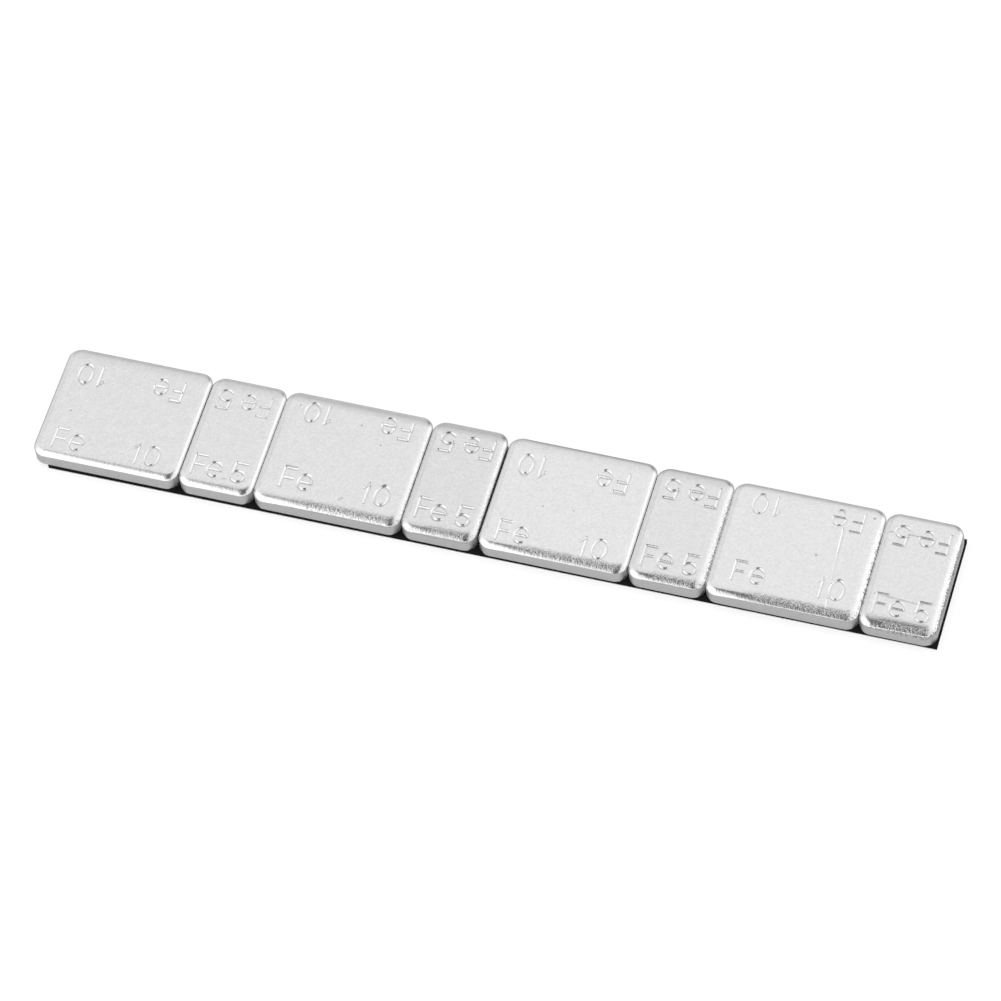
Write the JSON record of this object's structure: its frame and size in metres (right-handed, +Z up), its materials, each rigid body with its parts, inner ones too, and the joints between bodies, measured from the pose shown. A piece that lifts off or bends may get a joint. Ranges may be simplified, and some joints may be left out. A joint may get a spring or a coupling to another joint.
{
  "type": "adhesive wheel balance weight",
  "caption": "Row of coined zinc-plated steel weights on one strip of black foam tape, stuck to a wheel rim to balance it.",
  "frame": {"origin": "middle of the resting face, the underside of the release liner, under the middle of the part's length and width", "axes": "+X along the row from the first heavy weight to the last light one, +Y away from the front long side, +Z up through the tape and the weights to their marked top faces"},
  "size_m": [0.14, 0.02, 0.004],
  "materials": {
    "zinc_plated_steel": "satin",
    "black_foam": "matte",
    "liner_paper": "satin"
  },
  "bodies": {
    "root": {"weight_10g_1": "zinc_plated_steel", "weight_5g_1": "zinc_plated_steel", "weight_10g_2": "zinc_plated_steel", "weight_5g_2": "zinc_plated_steel", "weight_10g_3": "zinc_plated_steel", "weight_5g_3": "zinc_plated_steel", "weight_10g_4": "zinc_plated_steel", "weight_5g_4": "zinc_plated_steel", "foam_tape": "black_foam", "release_liner": "liner_paper"}
  },
  "joints": []
}
